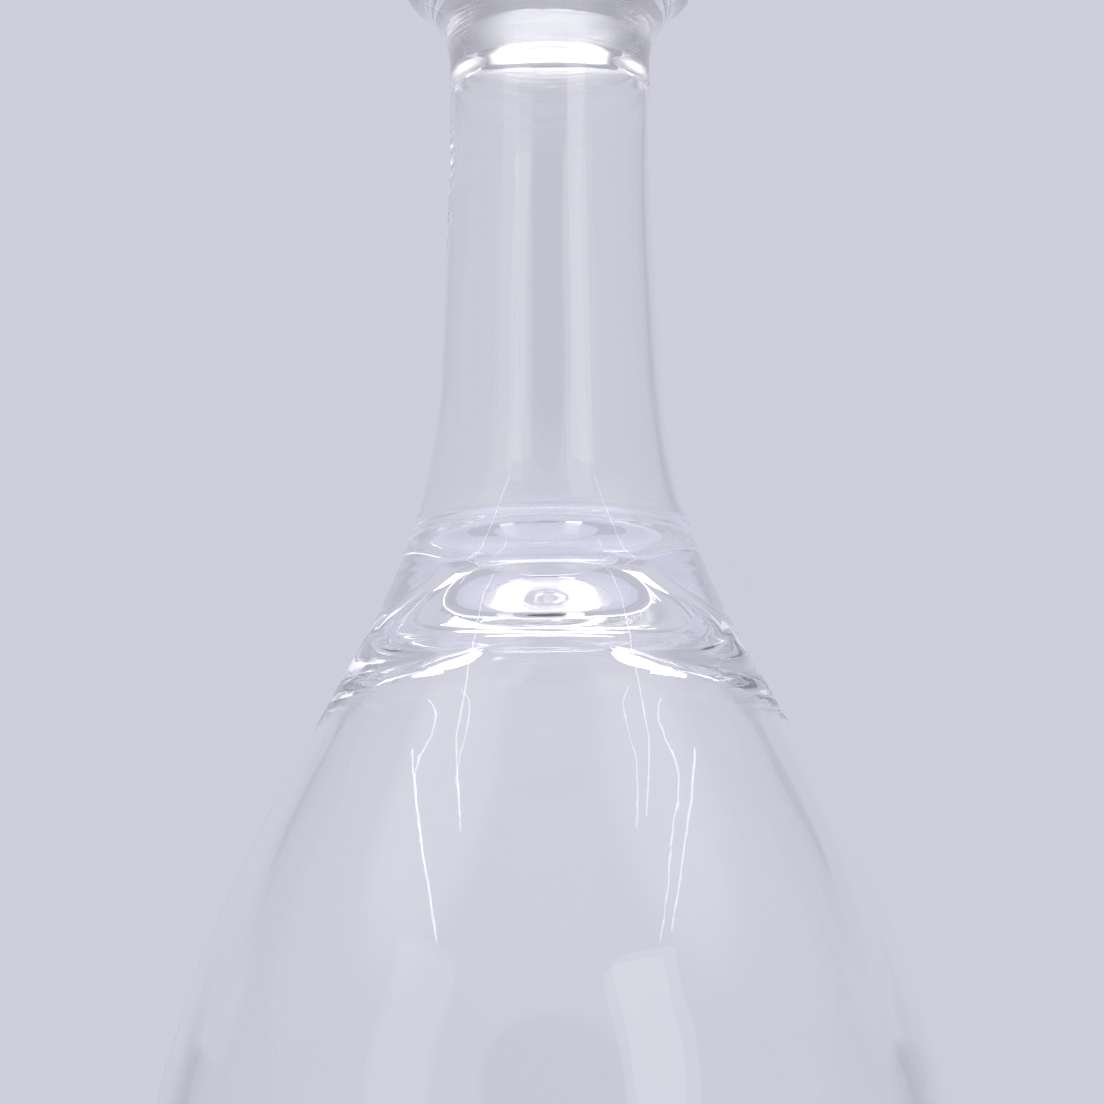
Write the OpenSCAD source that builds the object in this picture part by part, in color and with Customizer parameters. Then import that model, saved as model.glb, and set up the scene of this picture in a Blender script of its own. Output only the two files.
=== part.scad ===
// Heavy-walled round bottom flask, about one litre, with a long pear-shaped shoulder,
// a fused neck, a ground conical mouth, a flared lip and a solid ground-glass stopper.
// The origin is the lowest point of the round bottom, and +Z runs up the flask's axis.

/* [Bulb] */
// Outer radius of the round bottom
bulb_r = 63.3; // [62:0.1:65]
// Wall thickness of the round bottom and of the lower shoulder
bulb_wall = 5.3; // [4:0.1:6]
// Elevation on the sphere at which the bottom turns into the shoulder
sphere_end = 15.7; // [14:0.1:17]
// Radius of the long convex shoulder
shoulder_r = 216; // [200:1:230]
// Slope of the shoulder's straight stretch, from the axis
cone_slope = 28; // [27:0.5:29]
// Length of the shoulder's straight stretch
cone_len = 29.6; // [25:0.1:32]

/* [Throat ring] */
// How far the thickened ring inside the shoulder stands in from the wall
ring_in = 12; // [0:0.5:13]
// Height of the ring's thickest place
ring_z = 156; // [154:0.5:158]
// Height over which the ring fades to a third of its depth, going down into the shoulder
ring_below = 12; // [10:0.5:14]
// Height over which the ring fades to a third of its depth, going up into the neck
ring_above = 6; // [5:0.5:9]

/* [Neck] */
// Radius of the concave sweep from the shoulder into the neck
sweep_r = 101.6; // [98:0.1:105]
// Slope at which the fused seam between bulb and neck crosses the sweep
seam_slope = 23.8; // [20:0.1:26]
// Taper of the neck, from the axis
neck_slope = 2.83; // [2.6:0.01:3]
// Outer radius of the top of the neck and of the mouth socket
neck_r = 16.25; // [16:0.05:16.5]
// Wall thickness of the neck
neck_wall = 1.15; // [1:0.05:1.6]

/* [Ground mouth] */
// Height of the fused seam between neck and mouth socket
socket_z = 242; // [241:0.5:243]
// Height of the ground seat's narrow end
seat_z = 246; // [245:0.5:247]
// Length of the ground seat
seat_len = 12; // [10:0.5:13]
// Large diameter of the ground seat
seat_d = 29.2; // [29:0.05:29.4]
// Height of the flat top of the mouth
mouth_z = 264; // [263:0.5:266]

/* [Lip] */
// Radius of the flare under the lip
flare_r = 12.6; // [12:0.1:13]
// Angle through which the flare turns outwards
flare_turn = 50; // [45:1:52]
// Straight stretch between the flare and the rounded edge
flare_len = 2; // [1:0.1:2.5]

/* [Stopper] */
// How far the stopper's narrow end stays above the seat's narrow end
plug_lift = 4.5; // [4:0.1:5]
// Gap between the ground faces, square to the axis
ground_gap = 0.05; // [0.03:0.01:0.08]
// Radius of the stopper's shank
shank_r = 11; // [9:0.5:12]
// Height of the underside of the stopper's head
head_z = 271; // [270:0.5:274]
// Radius of the stopper's head
head_r = 19; // [17:0.5:21]
// Thickness of the stopper's head
head_h = 8; // [7:0.5:10]

/* [Hidden] */
$fn = 96;

// A ground cone grows 1 mm in diameter for every 10 mm of length.
seat_slope = 0.05;
seat_top_r = seat_d / 2;
throat_r = seat_top_r - seat_slope * seat_len;

// The wall thins from the bulb's thickness to the neck's between these two heights.
thin_from = 120;
thin_to = 190;
// Inside the socket the bore closes in from the neck's to the throat's between these two heights.
bore_r = neck_r - neck_wall;
choke_z = 242.5;
throat_z = 244;

lip_edge_r = 4;
edge_r = 0.6;
waist_r = 2;

// Centres and ends of the arcs that make the outside, each as [radius, height].
sphere_c = [0, bulb_r];
sphere_top = sphere_c + bulb_r * along(sphere_end);
shoulder_c = sphere_top - shoulder_r * along(sphere_end);
cone_low = shoulder_c + shoulder_r * along(cone_slope);
cone_high = cone_low + cone_len * [-sin(cone_slope), cos(cone_slope)];
sweep_c = cone_high + sweep_r * along(cone_slope);
sweep_top = sweep_c - sweep_r * along(neck_slope);
taper_len = (sweep_top[0] - neck_r) / sin(neck_slope);

// Unit vector at an angle above the horizontal.
function along(a) = [cos(a), sin(a)];

// Points of an arc from one angle to another, both ends included.
function arc(c, r, from, to, steps) =
    [for (i = [0:steps]) c + r * along(from + (to - from) * i / steps)];

// Curve that leaves 0 level and reaches 1 level.
function ease(t) = let (u = min(max(t, 0), 1)) u * u * (3 - 2 * u);

// Wall thickness, square to the outside, at a height.
function wall(z) = neck_wall + (bulb_wall - neck_wall) * ease((thin_to - z) / (thin_to - thin_from));

// How far the ring stands in at a height.
function ring(z) =
    let (fade = z > ring_z ? ring_above : ring_below) ring_in * exp(-pow((z - ring_z) / fade, 2));

// A station is [radius, height, angle of the outward normal] on the outside.
function station(p, a) = [p[0], p[1], a];
function bottom_stations(steps) = [for (i = [0:steps])
    let (a = -90 + (sphere_end + 90) * i / steps) station(sphere_c + bulb_r * along(a), a)];
function shoulder_stations(steps) = [for (i = [1:steps])
    let (a = sphere_end + (cone_slope - sphere_end) * i / steps)
    station(shoulder_c + shoulder_r * along(a), a)];
function cone_stations(steps) = [for (i = [1:steps])
    station(cone_low + (cone_high - cone_low) * i / steps, cone_slope)];
function sweep_stations(from, to, steps) = [for (i = [0:steps])
    let (a = from + (to - from) * i / steps) station(sweep_c - sweep_r * along(a), a)];
function taper_stations(steps) = [for (i = [1:steps])
    station(sweep_top + taper_len * i / steps * [-sin(neck_slope), cos(neck_slope)], neck_slope)];

// The outside points, and the inside points that face them through the wall.
function outside(stations) = [for (s = stations) [max(s[0], 0), s[1]]];
function inside(stations) = [for (s = stations)
    let (t = wall(s[1]), z = s[1] - t * sin(s[2])) [max(s[0] - t * cos(s[2]) - ring(z), 0), z]];
function backwards(v) = [for (i = [len(v) - 1:-1:0]) v[i]];

// Round bottom and shoulder, blown in one piece up to the fused seam.
module bulb() {
    stations = concat(bottom_stations(36), shoulder_stations(8), cone_stations(16),
        sweep_stations(cone_slope, seam_slope, 4));
    color("lightsteelblue", 0.4) rotate_extrude()
        polygon(concat(outside(stations), backwards(inside(stations))));
}

// Neck drawn from the seam up to the mouth socket.
module neck_tube() {
    stations = concat(sweep_stations(seam_slope, neck_slope, 24), taper_stations(4));
    color("aliceblue", 0.4) rotate_extrude()
        polygon(concat(outside(stations), [[neck_r, socket_z], [bore_r, socket_z]],
            backwards(inside(stations))));
}

// Short throat, ground conical seat and eased mouth, fused on top of the neck.
module mouth_socket() {
    seat_top = seat_z + seat_len;
    mouth_ease = arc([seat_top_r + 2, seat_top], 2, 180, 140, 4);
    choke = [for (i = [0:6]) let (t = i / 6)
        [bore_r + (throat_r - bore_r) * ease(t), choke_z + (throat_z - choke_z) * t]];
    color("white", 0.6) rotate_extrude()
        polygon(concat(
            [[neck_r, socket_z], [neck_r, mouth_z], [neck_r - edge_r, mouth_z]],
            backwards(mouth_ease), [[throat_r, seat_z]], backwards(choke), [[bore_r, socket_z]]));
}

// Flared lip wrapped round the outside of the socket.
module lip_ring() {
    flare_c = [neck_r + flare_r, seat_z];
    under = arc(flare_c, flare_r, 180, 180 - flare_turn, 12);
    edge_start = under[len(under) - 1] + flare_len * [sin(flare_turn), cos(flare_turn)];
    edge_c = edge_start - lip_edge_r * along(-flare_turn);
    color("aliceblue", 0.5) rotate_extrude()
        polygon(concat(under, arc(edge_c, lip_edge_r, -flare_turn, 90, 14), [[neck_r, mouth_z]]));
}

// Ground plug and its shank, up to the underside of the head.
module stopper_plug() {
    low_z = seat_z + plug_lift;
    high_z = low_z + seat_len;
    low_r = throat_r + seat_slope * plug_lift - ground_gap;
    high_r = low_r + seat_slope * seat_len;
    shank_foot = [shank_r, high_z + waist_r];
    waist = arc([shank_r + waist_r, head_z - waist_r], waist_r, 180, 90, 6);
    color("gainsboro", 0.7) rotate_extrude()
        polygon(concat([[0, low_z], [low_r - edge_r, low_z], [low_r, low_z + edge_r],
            [high_r, high_z], shank_foot], waist, [[0, head_z]]));
}

// Round flat head, pressed in one piece with a rolled edge and a slightly domed top.
module stopper_head() {
    roll_r = head_h / 2;
    roll_c = [head_r - roll_r, head_z + roll_r];
    color("gainsboro", 0.5) rotate_extrude()
        polygon(concat([[0, head_z]], arc(roll_c, roll_r, -90, 90, 16), [[0, head_z + head_h]]));
}

bulb();
neck_tube();
mouth_socket();
lip_ring();
stopper_plug();
stopper_head();
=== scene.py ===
"""A heavy-walled round bottom flask with a ground-glass stopper, in clear blown glass.

Lengths are in millimetres while a profile is worked out, and in metres in the meshes.
The heights and radii that the CAD part fixes are read from the frame.
"""

import math

import bmesh
import bpy
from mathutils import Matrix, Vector, noise


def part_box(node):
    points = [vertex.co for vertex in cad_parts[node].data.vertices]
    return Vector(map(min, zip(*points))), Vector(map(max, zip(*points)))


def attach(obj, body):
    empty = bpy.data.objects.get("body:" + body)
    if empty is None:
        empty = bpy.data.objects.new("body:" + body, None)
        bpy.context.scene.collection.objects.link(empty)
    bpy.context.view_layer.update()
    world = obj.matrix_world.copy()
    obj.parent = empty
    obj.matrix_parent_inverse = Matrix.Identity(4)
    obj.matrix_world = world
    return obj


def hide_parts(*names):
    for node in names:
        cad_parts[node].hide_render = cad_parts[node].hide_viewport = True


MM = 0.001

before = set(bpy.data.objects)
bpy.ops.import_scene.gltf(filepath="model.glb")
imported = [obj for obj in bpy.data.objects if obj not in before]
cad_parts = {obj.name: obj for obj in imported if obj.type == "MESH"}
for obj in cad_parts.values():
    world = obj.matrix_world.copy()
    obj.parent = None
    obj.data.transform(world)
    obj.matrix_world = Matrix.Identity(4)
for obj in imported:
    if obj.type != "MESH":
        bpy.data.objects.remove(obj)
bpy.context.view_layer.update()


def node_low(node):
    """Lowest height of a CAD node, in millimetres."""
    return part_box(node)[0].z / MM


def node_high(node):
    """Highest height of a CAD node, in millimetres."""
    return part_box(node)[1].z / MM


def node_radius(node):
    """Outer radius of a CAD node, in millimetres."""
    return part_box(node)[1].x / MM


# --- sizes that the frame gives ---
BULB_R = node_radius("bulb")
NECK_R = node_radius("mouth_socket")
SOCKET_Z = node_low("mouth_socket")
MOUTH_Z = node_high("mouth_socket")
SEAT_Z = node_low("lip_ring")
PLUG_Z = node_low("stopper_plug")
PLUG_R = node_radius("stopper_plug")
HEAD_Z = node_low("stopper_head")
HEAD_TOP = node_high("stopper_head")
HEAD_R = node_radius("stopper_head")

# --- the flask's curves, as the CAD part has them ---
BULB_WALL = 5.3
SPHERE_END = 15.7
SHOULDER_R = 216.0
CONE_SLOPE = 28.0
CONE_LEN = 29.6
SWEEP_R = 101.6
SEAM_SLOPE = 23.8
NECK_SLOPE = 2.83
NECK_WALL = 1.15
THIN_FROM = 120.0
THIN_TO = 190.0
RING_IN = 12.0
RING_Z = 156.0
RING_BELOW = 12.0
RING_ABOVE = 6.0
SEAT_LEN = 12.0
SEAT_SLOPE = 0.05
SEAT_TOP_R = 14.6
THROAT_R = SEAT_TOP_R - SEAT_SLOPE * SEAT_LEN
FLARE_R = 12.6
FLARE_TURN = 50.0
FLARE_LEN = 2.0
LIP_EDGE_R = 4.0
MOUTH_EASE_R = 2.0
MOUTH_EDGE_R = 0.5
GROUND_GAP = 0.05
PLUG_EDGE_R = 0.6
SHANK_R = 11.0
WAIST_R = 2.0

# --- marks of hand blowing and grinding, which the CAD part leaves out ---
CHOKE_Z = 241.0
THROAT_Z = 245.0
GROUND_FROM = 245.2
BORE_SHIFT = 0.6
BORE_SHIFT_FADE = 30.0
SEAM_Z = 156.0
SEAM_RAISE = 0.10
SEAL_Z = 242.0
SEAL_RAISE = 0.16
RIPPLE = 0.035
PLUG_CHIP = 0.35

# --- how finely the glass is turned ---
SEGMENTS = 192
STEP = 0.9
MERGE = 0.01

# --- the room's tones by direction, and the eye ---
WALL_COLOUR = (0.60, 0.597, 0.70, 1)
SIDE_COLOUR = (0.40, 0.40, 0.49, 1)
BELT_COLOUR = (0.57, 0.57, 0.67, 1)
TOP_COLOUR = (0.68, 0.68, 0.77, 1)
GLOW_COLOUR = (1.4, 1.4, 1.5, 1)
BLOTCH_COLOUR = (0.66, 0.657, 0.74, 1)
EYE_COLOUR = (0.12, 0.12, 0.16, 1)
EYE_RISE = math.radians(15)
CAMERA_ROLL = -0.28
EYE_DISTANCE = 1.3
SEEN_WIDTH = 0.17664


def along(angle):
    """Unit vector (radius, height) at an angle above the horizontal, in degrees."""
    return Vector((math.cos(math.radians(angle)), math.sin(math.radians(angle))))


def ease(t):
    """Curve that leaves 0 level and reaches 1 level."""
    u = min(max(t, 0.0), 1.0)
    return u * u * (3 - 2 * u)


def arc(centre, radius, start, end, step=STEP):
    """Points of an arc, both ends included."""
    steps = max(3, round(abs(math.radians(end - start)) * radius / step))
    return [centre + radius * along(start + (end - start) * i / steps) for i in range(steps + 1)]


def line(start, end, step=STEP):
    """Points of a straight stretch, both ends included."""
    steps = max(1, round((end - start).length / step))
    return [start.lerp(end, i / steps) for i in range(steps + 1)]


def joined(*runs):
    """One run of points from several, without the points that two runs share."""
    points = []
    for run in runs:
        for p in run:
            if not points or (p - points[-1]).length > MERGE:
                points.append(p)
    return points


def outside_of_flask():
    """The outside from the bottom pole to the foot of the lip's flare."""
    sphere_c = Vector((0, BULB_R))
    sphere_top = sphere_c + BULB_R * along(SPHERE_END)
    shoulder_c = sphere_top - SHOULDER_R * along(SPHERE_END)
    cone_low = shoulder_c + SHOULDER_R * along(CONE_SLOPE)
    cone_high = cone_low + CONE_LEN * along(CONE_SLOPE + 90)
    sweep_c = cone_high + SWEEP_R * along(CONE_SLOPE)
    sweep_top = sweep_c - SWEEP_R * along(NECK_SLOPE)
    taper_len = (sweep_top.x - NECK_R) / math.sin(math.radians(NECK_SLOPE))
    taper_top = sweep_top + taper_len * along(NECK_SLOPE + 90)
    return joined(
        arc(sphere_c, BULB_R, -90, SPHERE_END),
        arc(shoulder_c, SHOULDER_R, SPHERE_END, CONE_SLOPE),
        line(cone_low, cone_high),
        arc(sweep_c, SWEEP_R, CONE_SLOPE + 180, NECK_SLOPE + 180),
        line(sweep_top, taper_top),
        line(taper_top, Vector((NECK_R, SEAT_Z))),
    )


def normals_of(points):
    """Outward normal at each point of a run that goes up the outside."""
    result = []
    for i in range(len(points)):
        before = points[max(i - 1, 0)]
        after = points[min(i + 1, len(points) - 1)]
        tangent = (after - before).normalized()
        result.append(Vector((tangent.y, -tangent.x)))
    return result


def wall(z):
    """Wall thickness at a height."""
    return NECK_WALL + (BULB_WALL - NECK_WALL) * ease((THIN_TO - z) / (THIN_TO - THIN_FROM))


def ring(z):
    """How far the thickened ring inside the shoulder stands in at a height."""
    reach = RING_ABOVE if z > RING_Z else RING_BELOW
    return RING_IN * math.exp(-(((z - RING_Z) / reach) ** 2))


def inside_of_flask(outside):
    """The inside, from the choke below the throat down to the bottom pole."""
    points = []
    for p, n in zip(outside, normals_of(outside)):
        q = p - wall(p.y) * n
        q.x = max(q.x - ring(q.y), 0.0)
        if q.y < CHOKE_Z:
            points.append(q)
    points[0].x = 0.0
    return points[::-1]


def choke_of_flask():
    """The bore closing in from the neck to the throat, from the throat down."""
    bore_r = NECK_R - NECK_WALL
    height = THROAT_Z - CHOKE_Z
    steps = 8
    points = [
        Vector((bore_r + (THROAT_R - bore_r) * ease(i / steps), CHOKE_Z + height * i / steps))
        for i in range(steps + 1)
    ]
    return points[::-1]


def lip_of_flask():
    """The flared lip's underside and rounded edge, up to its flat top."""
    under = arc(Vector((NECK_R + FLARE_R, SEAT_Z)), FLARE_R, 180, 180 - FLARE_TURN)
    edge_start = under[-1] + FLARE_LEN * along(90 - FLARE_TURN)
    edge_c = edge_start - LIP_EDGE_R * along(-FLARE_TURN)
    return joined(under, line(under[-1], edge_start), arc(edge_c, LIP_EDGE_R, -FLARE_TURN, 90, 0.45))


def mouth_of_flask():
    """From the lip's flat top over the eased mouth and down the ground seat to the throat."""
    seat_top = Vector((SEAT_TOP_R, SEAT_Z + SEAT_LEN))
    ease_c = Vector((SEAT_TOP_R + MOUTH_EASE_R, seat_top.y))
    eased = arc(ease_c, MOUTH_EASE_R, 180, 140, 0.3)
    edge_c = Vector((NECK_R - 0.1, MOUTH_Z - MOUTH_EDGE_R))
    rolled = arc(edge_c, MOUTH_EDGE_R, 90, 180, 0.2)
    return joined(
        rolled,
        line(rolled[-1], eased[-1]),
        eased[::-1],
        line(seat_top, Vector((THROAT_R, SEAT_Z))),
        line(Vector((THROAT_R, SEAT_Z)), Vector((THROAT_R, THROAT_Z))),
    )


def bead(z, centre, half, height):
    """Height of a low rounded bead that runs round the glass."""
    return height * math.exp(-(((z - centre) / half) ** 2))


def blown(r, turn, z, inner):
    """Where hand blowing leaves a point of the flask, in millimetres: radius and sideways shift."""
    around = Vector((math.cos(turn), math.sin(turn), 0.0))
    calm = ease((SOCKET_Z - z) / BORE_SHIFT_FADE) * ease(r / 10.0)
    drawn = noise.noise(around * 2.6 + Vector((0, 0, z / 90.0 + (7.0 if inner else 0.0))))
    fine = noise.noise(around * 9.0 + Vector((5.0, 0, z / 45.0 + (3.0 if inner else 0.0))))
    swell = RIPPLE * calm * (drawn + 0.35 * fine)
    if inner:
        return r + swell, -BORE_SHIFT * calm * ease(z / 80.0)
    raised = bead(z, SEAM_Z, 0.8, SEAM_RAISE) + bead(z, SEAL_Z, 0.9, SEAL_RAISE)
    return r + min(swell, 0.0) + raised, 0.0


def chipped(r, turn, z):
    """The worn lower rim of the stopper's ground face."""
    worn = noise.noise(Vector((math.cos(turn), math.sin(turn), 0.0)) * 7.0)
    rim = bead(z, PLUG_Z, 0.8, 1.0) * ease((r - THROAT_R + 3.0) / 2.0)
    return z + PLUG_CHIP * rim * max(worn + 0.2, 0.0)


def turned(name, profile, shape):
    """A closed solid of revolution: the profile starts and ends on the axis, in millimetres.

    The shape gives the place of a profile point at a turn about the axis.
    """
    mesh = bpy.data.meshes.new(name)
    verts = []
    rows = []
    for index, p in enumerate(profile):
        if p.x < 1e-6:
            rows.append([len(verts)])
            verts.append((0, 0, p.y * MM))
            continue
        rows.append([len(verts) + k for k in range(SEGMENTS)])
        for k in range(SEGMENTS):
            turn = 2 * math.pi * k / SEGMENTS
            verts.append(shape(p, turn, index) * MM)
    faces = []
    for low, high in zip(rows, rows[1:]):
        for k in range(SEGMENTS):
            m = (k + 1) % SEGMENTS
            if len(low) == 1:
                faces.append((low[0], high[m], high[k]))
            elif len(high) == 1:
                faces.append((low[k], low[m], high[0]))
            else:
                faces.append((low[k], low[m], high[m], high[k]))
    mesh.from_pydata(verts, [], faces)
    bm = bmesh.new()
    bm.from_mesh(mesh)
    bmesh.ops.recalc_face_normals(bm, faces=bm.faces)
    bm.to_mesh(mesh)
    bm.free()
    mesh.polygons.foreach_set("use_smooth", [True] * len(mesh.polygons))
    piece = bpy.data.objects.new(name, mesh)
    bpy.context.scene.collection.objects.link(piece)
    return piece


def glass_material(name, roughness, transmission):
    """White-based glass, with its node tree's parts for the finish to be added to."""
    material = bpy.data.materials.new(name)
    material.use_nodes = True
    shader = material.node_tree.nodes["Principled BSDF"]
    shader.inputs["Base Color"].default_value = (1, 1, 1, 1)
    shader.inputs["Roughness"].default_value = roughness
    shader.inputs["IOR"].default_value = 1.5
    shader.inputs["Transmission Weight"].default_value = transmission
    return material


def grain(material, scale, detail):
    """A noise texture on the object's own coordinates, stretched by a scale for each axis."""
    nodes = material.node_tree.nodes
    links = material.node_tree.links
    place = nodes.new("ShaderNodeTexCoord")
    stretch = nodes.new("ShaderNodeVectorMath")
    stretch.operation = "MULTIPLY"
    stretch.inputs[1].default_value = scale
    texture = nodes.new("ShaderNodeTexNoise")
    texture.inputs["Scale"].default_value = 1.0
    texture.inputs["Detail"].default_value = detail
    links.new(place.outputs["Object"], stretch.inputs[0])
    links.new(stretch.outputs["Vector"], texture.inputs["Vector"])
    return texture


def add_bump(material, texture, strength, distance):
    """Relief in the shader's normal, from a texture."""
    nodes = material.node_tree.nodes
    links = material.node_tree.links
    bump = nodes.new("ShaderNodeBump")
    bump.inputs["Strength"].default_value = strength
    bump.inputs["Distance"].default_value = distance
    links.new(texture.outputs["Fac"], bump.inputs["Height"])
    links.new(bump.outputs["Normal"], nodes["Principled BSDF"].inputs["Normal"])


def add_roughness(material, texture, low, high):
    """Roughness that a texture carries from low to high."""
    nodes = material.node_tree.nodes
    links = material.node_tree.links
    spread = nodes.new("ShaderNodeMapRange")
    spread.inputs["From Min"].default_value = 0.3
    spread.inputs["From Max"].default_value = 0.7
    spread.inputs["To Min"].default_value = low
    spread.inputs["To Max"].default_value = high
    links.new(texture.outputs["Fac"], spread.inputs["Value"])
    links.new(spread.outputs["Result"], nodes["Principled BSDF"].inputs["Roughness"])


def clear_glass():
    """Clear blown glass, with the faint cords that drawing leaves along it."""
    material = glass_material("clear_glass", 0.0, 1.0)
    cords = grain(material, (260.0, 260.0, 22.0), 2.0)
    add_bump(material, cords, 0.035, 0.0004)
    return material


def ground_glass():
    """Glass ground matt with fine abrasive, which leaves scores round the cone and scatters light."""
    material = glass_material("ground_glass", 0.5, 0.95)
    scores = grain(material, (120.0, 120.0, 3400.0), 3.0)
    add_bump(material, scores, 0.5, 0.00012)
    add_roughness(material, scores, 0.36, 0.62)
    return material


CLEAR = clear_glass()
GROUND = ground_glass()


def make_flask():
    """Bulb, neck, socket and lip as the one piece of glass that they are fused into."""
    outside = outside_of_flask()
    choke = choke_of_flask()
    inside = inside_of_flask(outside)
    profile = joined(outside, lip_of_flask(), mouth_of_flask(), choke, inside)
    first_inner = len(profile) - len(inside) - len(choke)

    def shape(p, turn, index):
        r, shift = blown(p.x, turn, p.y, index >= first_inner)
        return Vector((r * math.cos(turn) + shift, r * math.sin(turn), p.y))

    piece = turned("flask_glass", profile, shape)
    piece.data.materials.append(CLEAR)
    piece.data.materials.append(GROUND)
    for face in piece.data.polygons:
        z = face.center.z / MM
        r = math.hypot(face.center.x, face.center.y) / MM
        if GROUND_FROM < z < SEAT_Z + SEAT_LEN and r < SEAT_TOP_R + 0.02:
            face.material_index = 1
    return piece


def make_stopper():
    """Plug, shank and head as the one pressed piece that they are."""
    low_r = THROAT_R + SEAT_SLOPE * (PLUG_Z - SEAT_Z) - GROUND_GAP
    roll = (HEAD_TOP - HEAD_Z) / 2
    plug_top = PLUG_Z + SEAT_LEN
    profile = joined(
        line(Vector((0, PLUG_Z)), Vector((low_r - PLUG_EDGE_R, PLUG_Z))),
        arc(Vector((low_r - PLUG_EDGE_R, PLUG_Z + PLUG_EDGE_R)), PLUG_EDGE_R, -90, 0, 0.2),
        line(Vector((low_r, PLUG_Z + PLUG_EDGE_R)), Vector((PLUG_R, plug_top))),
        line(Vector((PLUG_R, plug_top)), Vector((SHANK_R, plug_top + WAIST_R))),
        arc(Vector((SHANK_R + WAIST_R, HEAD_Z - WAIST_R)), WAIST_R, 180, 90, 0.3),
        arc(Vector((HEAD_R - roll, HEAD_Z + roll)), roll, -90, 90, 0.4),
        line(Vector((HEAD_R - roll, HEAD_TOP)), Vector((0, HEAD_TOP))),
    )

    def shape(p, turn, index):
        return Vector((p.x * math.cos(turn), p.x * math.sin(turn), chipped(p.x, turn, p.y)))

    piece = turned("stopper_glass", profile, shape)
    piece.data.materials.append(CLEAR)
    piece.data.materials.append(GROUND)
    for face in piece.data.polygons:
        if face.center.z / MM < plug_top:
            face.material_index = 1
    return piece


def area_light(name, place, aim, size, power):
    """A soft rectangular light at a place, facing a point."""
    data = bpy.data.lights.new(name, "AREA")
    data.shape = "RECTANGLE"
    data.size, data.size_y = size
    data.energy = power
    light = bpy.data.objects.new(name, data)
    light.location = place
    light.rotation_euler = (Vector(aim) - Vector(place)).to_track_quat("-Z", "Y").to_euler()
    bpy.context.scene.collection.objects.link(light)


def faded(tree, value, start, end):
    """0 before the start, 1 after the end, and a smooth change between them."""
    node = tree.nodes.new("ShaderNodeMapRange")
    node.interpolation_type = "SMOOTHSTEP"
    node.inputs["From Min"].default_value = start
    node.inputs["From Max"].default_value = end
    tree.links.new(value, node.inputs["Value"])
    return node.outputs["Result"]


def mixed(tree, factor, low, high):
    """Colour between two, each a constant or another node's output."""
    node = tree.nodes.new("ShaderNodeMix")
    node.data_type = "RGBA"
    tree.links.new(factor, node.inputs[0])
    for socket, colour in ((node.inputs[6], low), (node.inputs[7], high)):
        if isinstance(colour, tuple):
            socket.default_value = colour
        else:
            tree.links.new(colour, socket)
    return node.outputs[2]


def facing(tree, direction, towards):
    """Cosine of the angle between a direction and a fixed one."""
    node = tree.nodes.new("ShaderNodeVectorMath")
    node.operation = "DOT_PRODUCT"
    node.inputs[1].default_value = Vector(towards).normalized()
    tree.links.new(direction, node.inputs[0])
    return node.outputs["Value"]


def product(tree, first, second):
    """Product of two values."""
    node = tree.nodes.new("ShaderNodeMath")
    node.operation = "MULTIPLY"
    tree.links.new(first, node.inputs[0])
    tree.links.new(second, node.inputs[1])
    return node.outputs[0]


def make_world():
    """A mottled lavender room, deeper at the sides and behind the eye, with soft glows overhead.

    A paler belt crosses the side walls, and a dark patch stands behind the eye.
    """
    world = bpy.data.worlds.new("room")
    world.use_nodes = True
    tree = world.node_tree
    place = tree.nodes.new("ShaderNodeTexCoord").outputs["Generated"]
    split = tree.nodes.new("ShaderNodeSeparateXYZ")
    tree.links.new(place, split.inputs[0])
    rise = split.outputs["Z"]

    forward = facing(tree, place, (0, math.cos(EYE_RISE), math.sin(EYE_RISE)))
    belt = product(tree, faded(tree, rise, 0.335, 0.375), faded(tree, rise, 0.50, 0.46))
    belt = product(tree, belt, faded(tree, forward, 0.45, 0.65))
    sides = mixed(tree, belt, SIDE_COLOUR, BELT_COLOUR)
    room = mixed(tree, faded(tree, forward, 0.76, 0.98), sides, WALL_COLOUR)
    room = mixed(tree, faded(tree, rise, 0.4, 1.0), room, TOP_COLOUR)
    for side in (-1, 1):
        lamp = faded(tree, facing(tree, place, (side * 0.484, -0.227, 0.844)), 0.94, 0.99)
        room = mixed(tree, lamp, room, GLOW_COLOUR)
    blotch = tree.nodes.new("ShaderNodeTexNoise")
    blotch.inputs["Scale"].default_value = 24.0
    blotch.inputs["Detail"].default_value = 3.0
    tree.links.new(place, blotch.inputs["Vector"])
    room = mixed(tree, faded(tree, blotch.outputs["Fac"], -0.6, 2.4), room, BLOTCH_COLOUR)
    behind = faded(tree, facing(tree, place, (0, -0.96, 0.27)), 0.93, 0.95)
    room = mixed(tree, behind, room, EYE_COLOUR)
    tree.links.new(room, tree.nodes["Background"].inputs["Color"])
    bpy.context.scene.world = world


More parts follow.
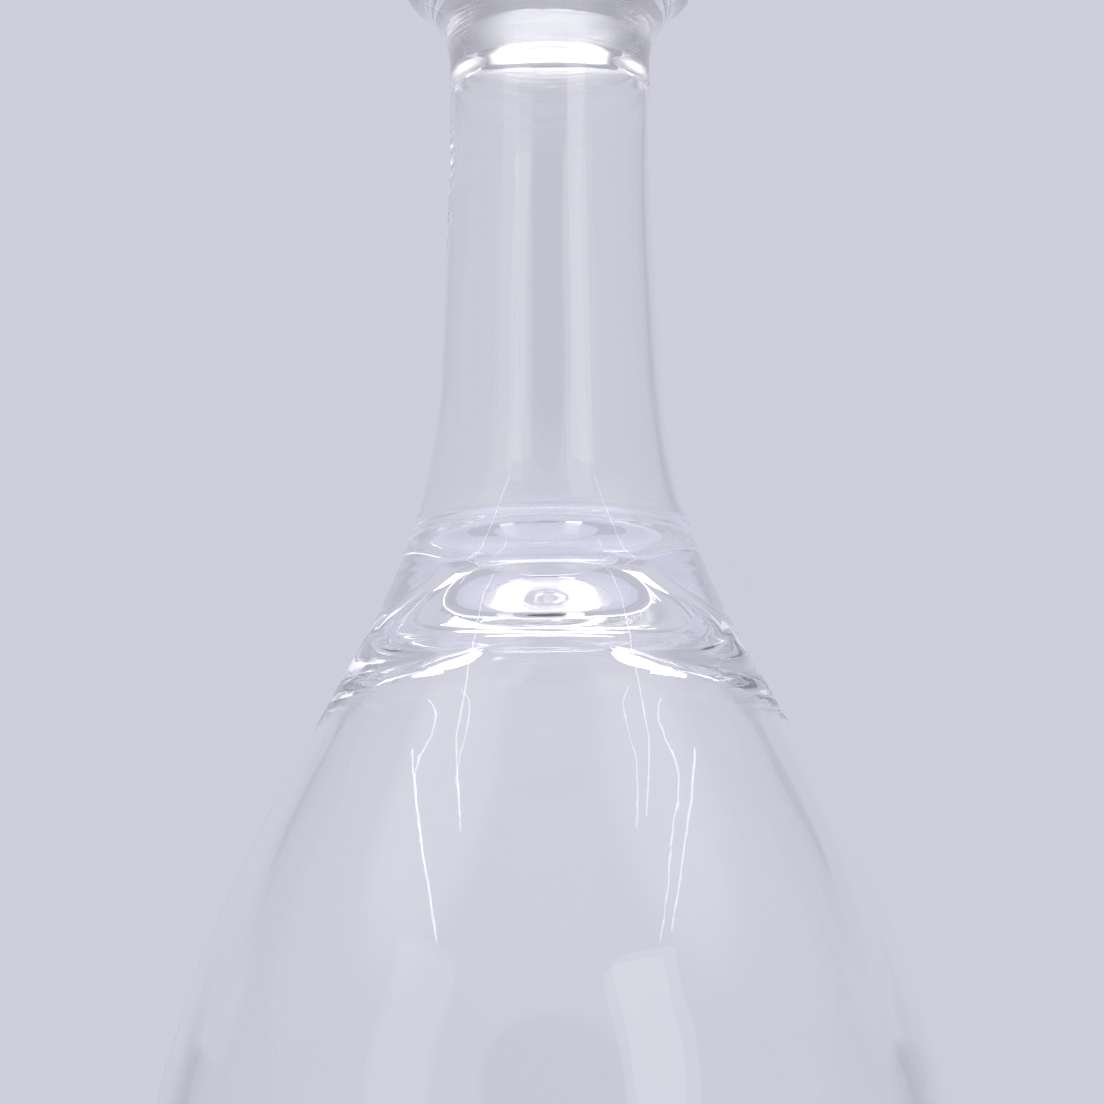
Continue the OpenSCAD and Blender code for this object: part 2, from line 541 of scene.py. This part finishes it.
def make_floor():
    """Plain pale floor, well below the flask."""
    mesh = bpy.data.meshes.new("floor")
    half = 6.0
    drop = -0.9
    mesh.from_pydata([(-half, -half, drop), (half, -half, drop), (half, half, drop), (-half, half, drop)],
                     [], [(0, 1, 2, 3)])
    floor = bpy.data.objects.new("floor", mesh)
    bpy.context.scene.collection.objects.link(floor)
    material = bpy.data.materials.new("pale_floor")
    material.use_nodes = True
    shader = material.node_tree.nodes["Principled BSDF"]
    shader.inputs["Base Color"].default_value = (0.92, 0.92, 1.0, 1)
    shader.inputs["Roughness"].default_value = 0.8
    mesh.materials.append(material)


def make_camera():
    """Eye below the shoulder, looking up at the neck."""
    aim = Vector((0, 0, (MOUTH_Z - 100.0) * MM))
    data = bpy.data.cameras.new("camera")
    data.sensor_width = 36
    data.lens = data.sensor_width * EYE_DISTANCE / SEEN_WIDTH
    camera = bpy.data.objects.new("camera", data)
    camera.location = aim + EYE_DISTANCE * Vector((0, -math.cos(EYE_RISE), -math.sin(EYE_RISE)))
    camera.rotation_euler = (math.pi / 2 + EYE_RISE, 0, 0)
    camera.rotation_euler.rotate_axis("Z", math.radians(CAMERA_ROLL))
    bpy.context.scene.collection.objects.link(camera)
    bpy.context.scene.camera = camera


make_camera()
flask = make_flask()
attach(flask, "flask")
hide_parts("bulb", "neck_tube", "mouth_socket", "lip_ring")
stopper = make_stopper()
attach(stopper, "stopper")
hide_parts("stopper_plug", "stopper_head")

make_world()
make_floor()
area_light("back_top", (0, 0.9, 1.3), (0, 0, 0.2), (0.95, 0.55), 5.0)
for side in (-1, 1):
    area_light("inner_edge", (side * 0.53, -0.33, 1.19), (side * 0.53, -0.33, 0), (0.008, 0.36), 0.038)
    area_light("outer_edge", (side * 0.76, -0.42, 1.19), (side * 0.76, -0.42, 0), (0.010, 0.76), 0.11)
area_light("left_window", (-0.86, -0.85, 0.55), (0, 0, 0.1), (0.42, 1.1), 0.6)
area_light("right_window", (0.63, -1.03, 0.55), (0, 0, 0.1), (0.42, 1.1), 1.3)

# Light is guided a long way inside the thick glass before it leaves.
BOUNCES = 256
scene = bpy.context.scene
scene.view_settings.view_transform = "Standard"
scene.cycles.max_bounces = BOUNCES
scene.cycles.transmission_bounces = BOUNCES
scene.cycles.glossy_bounces = BOUNCES
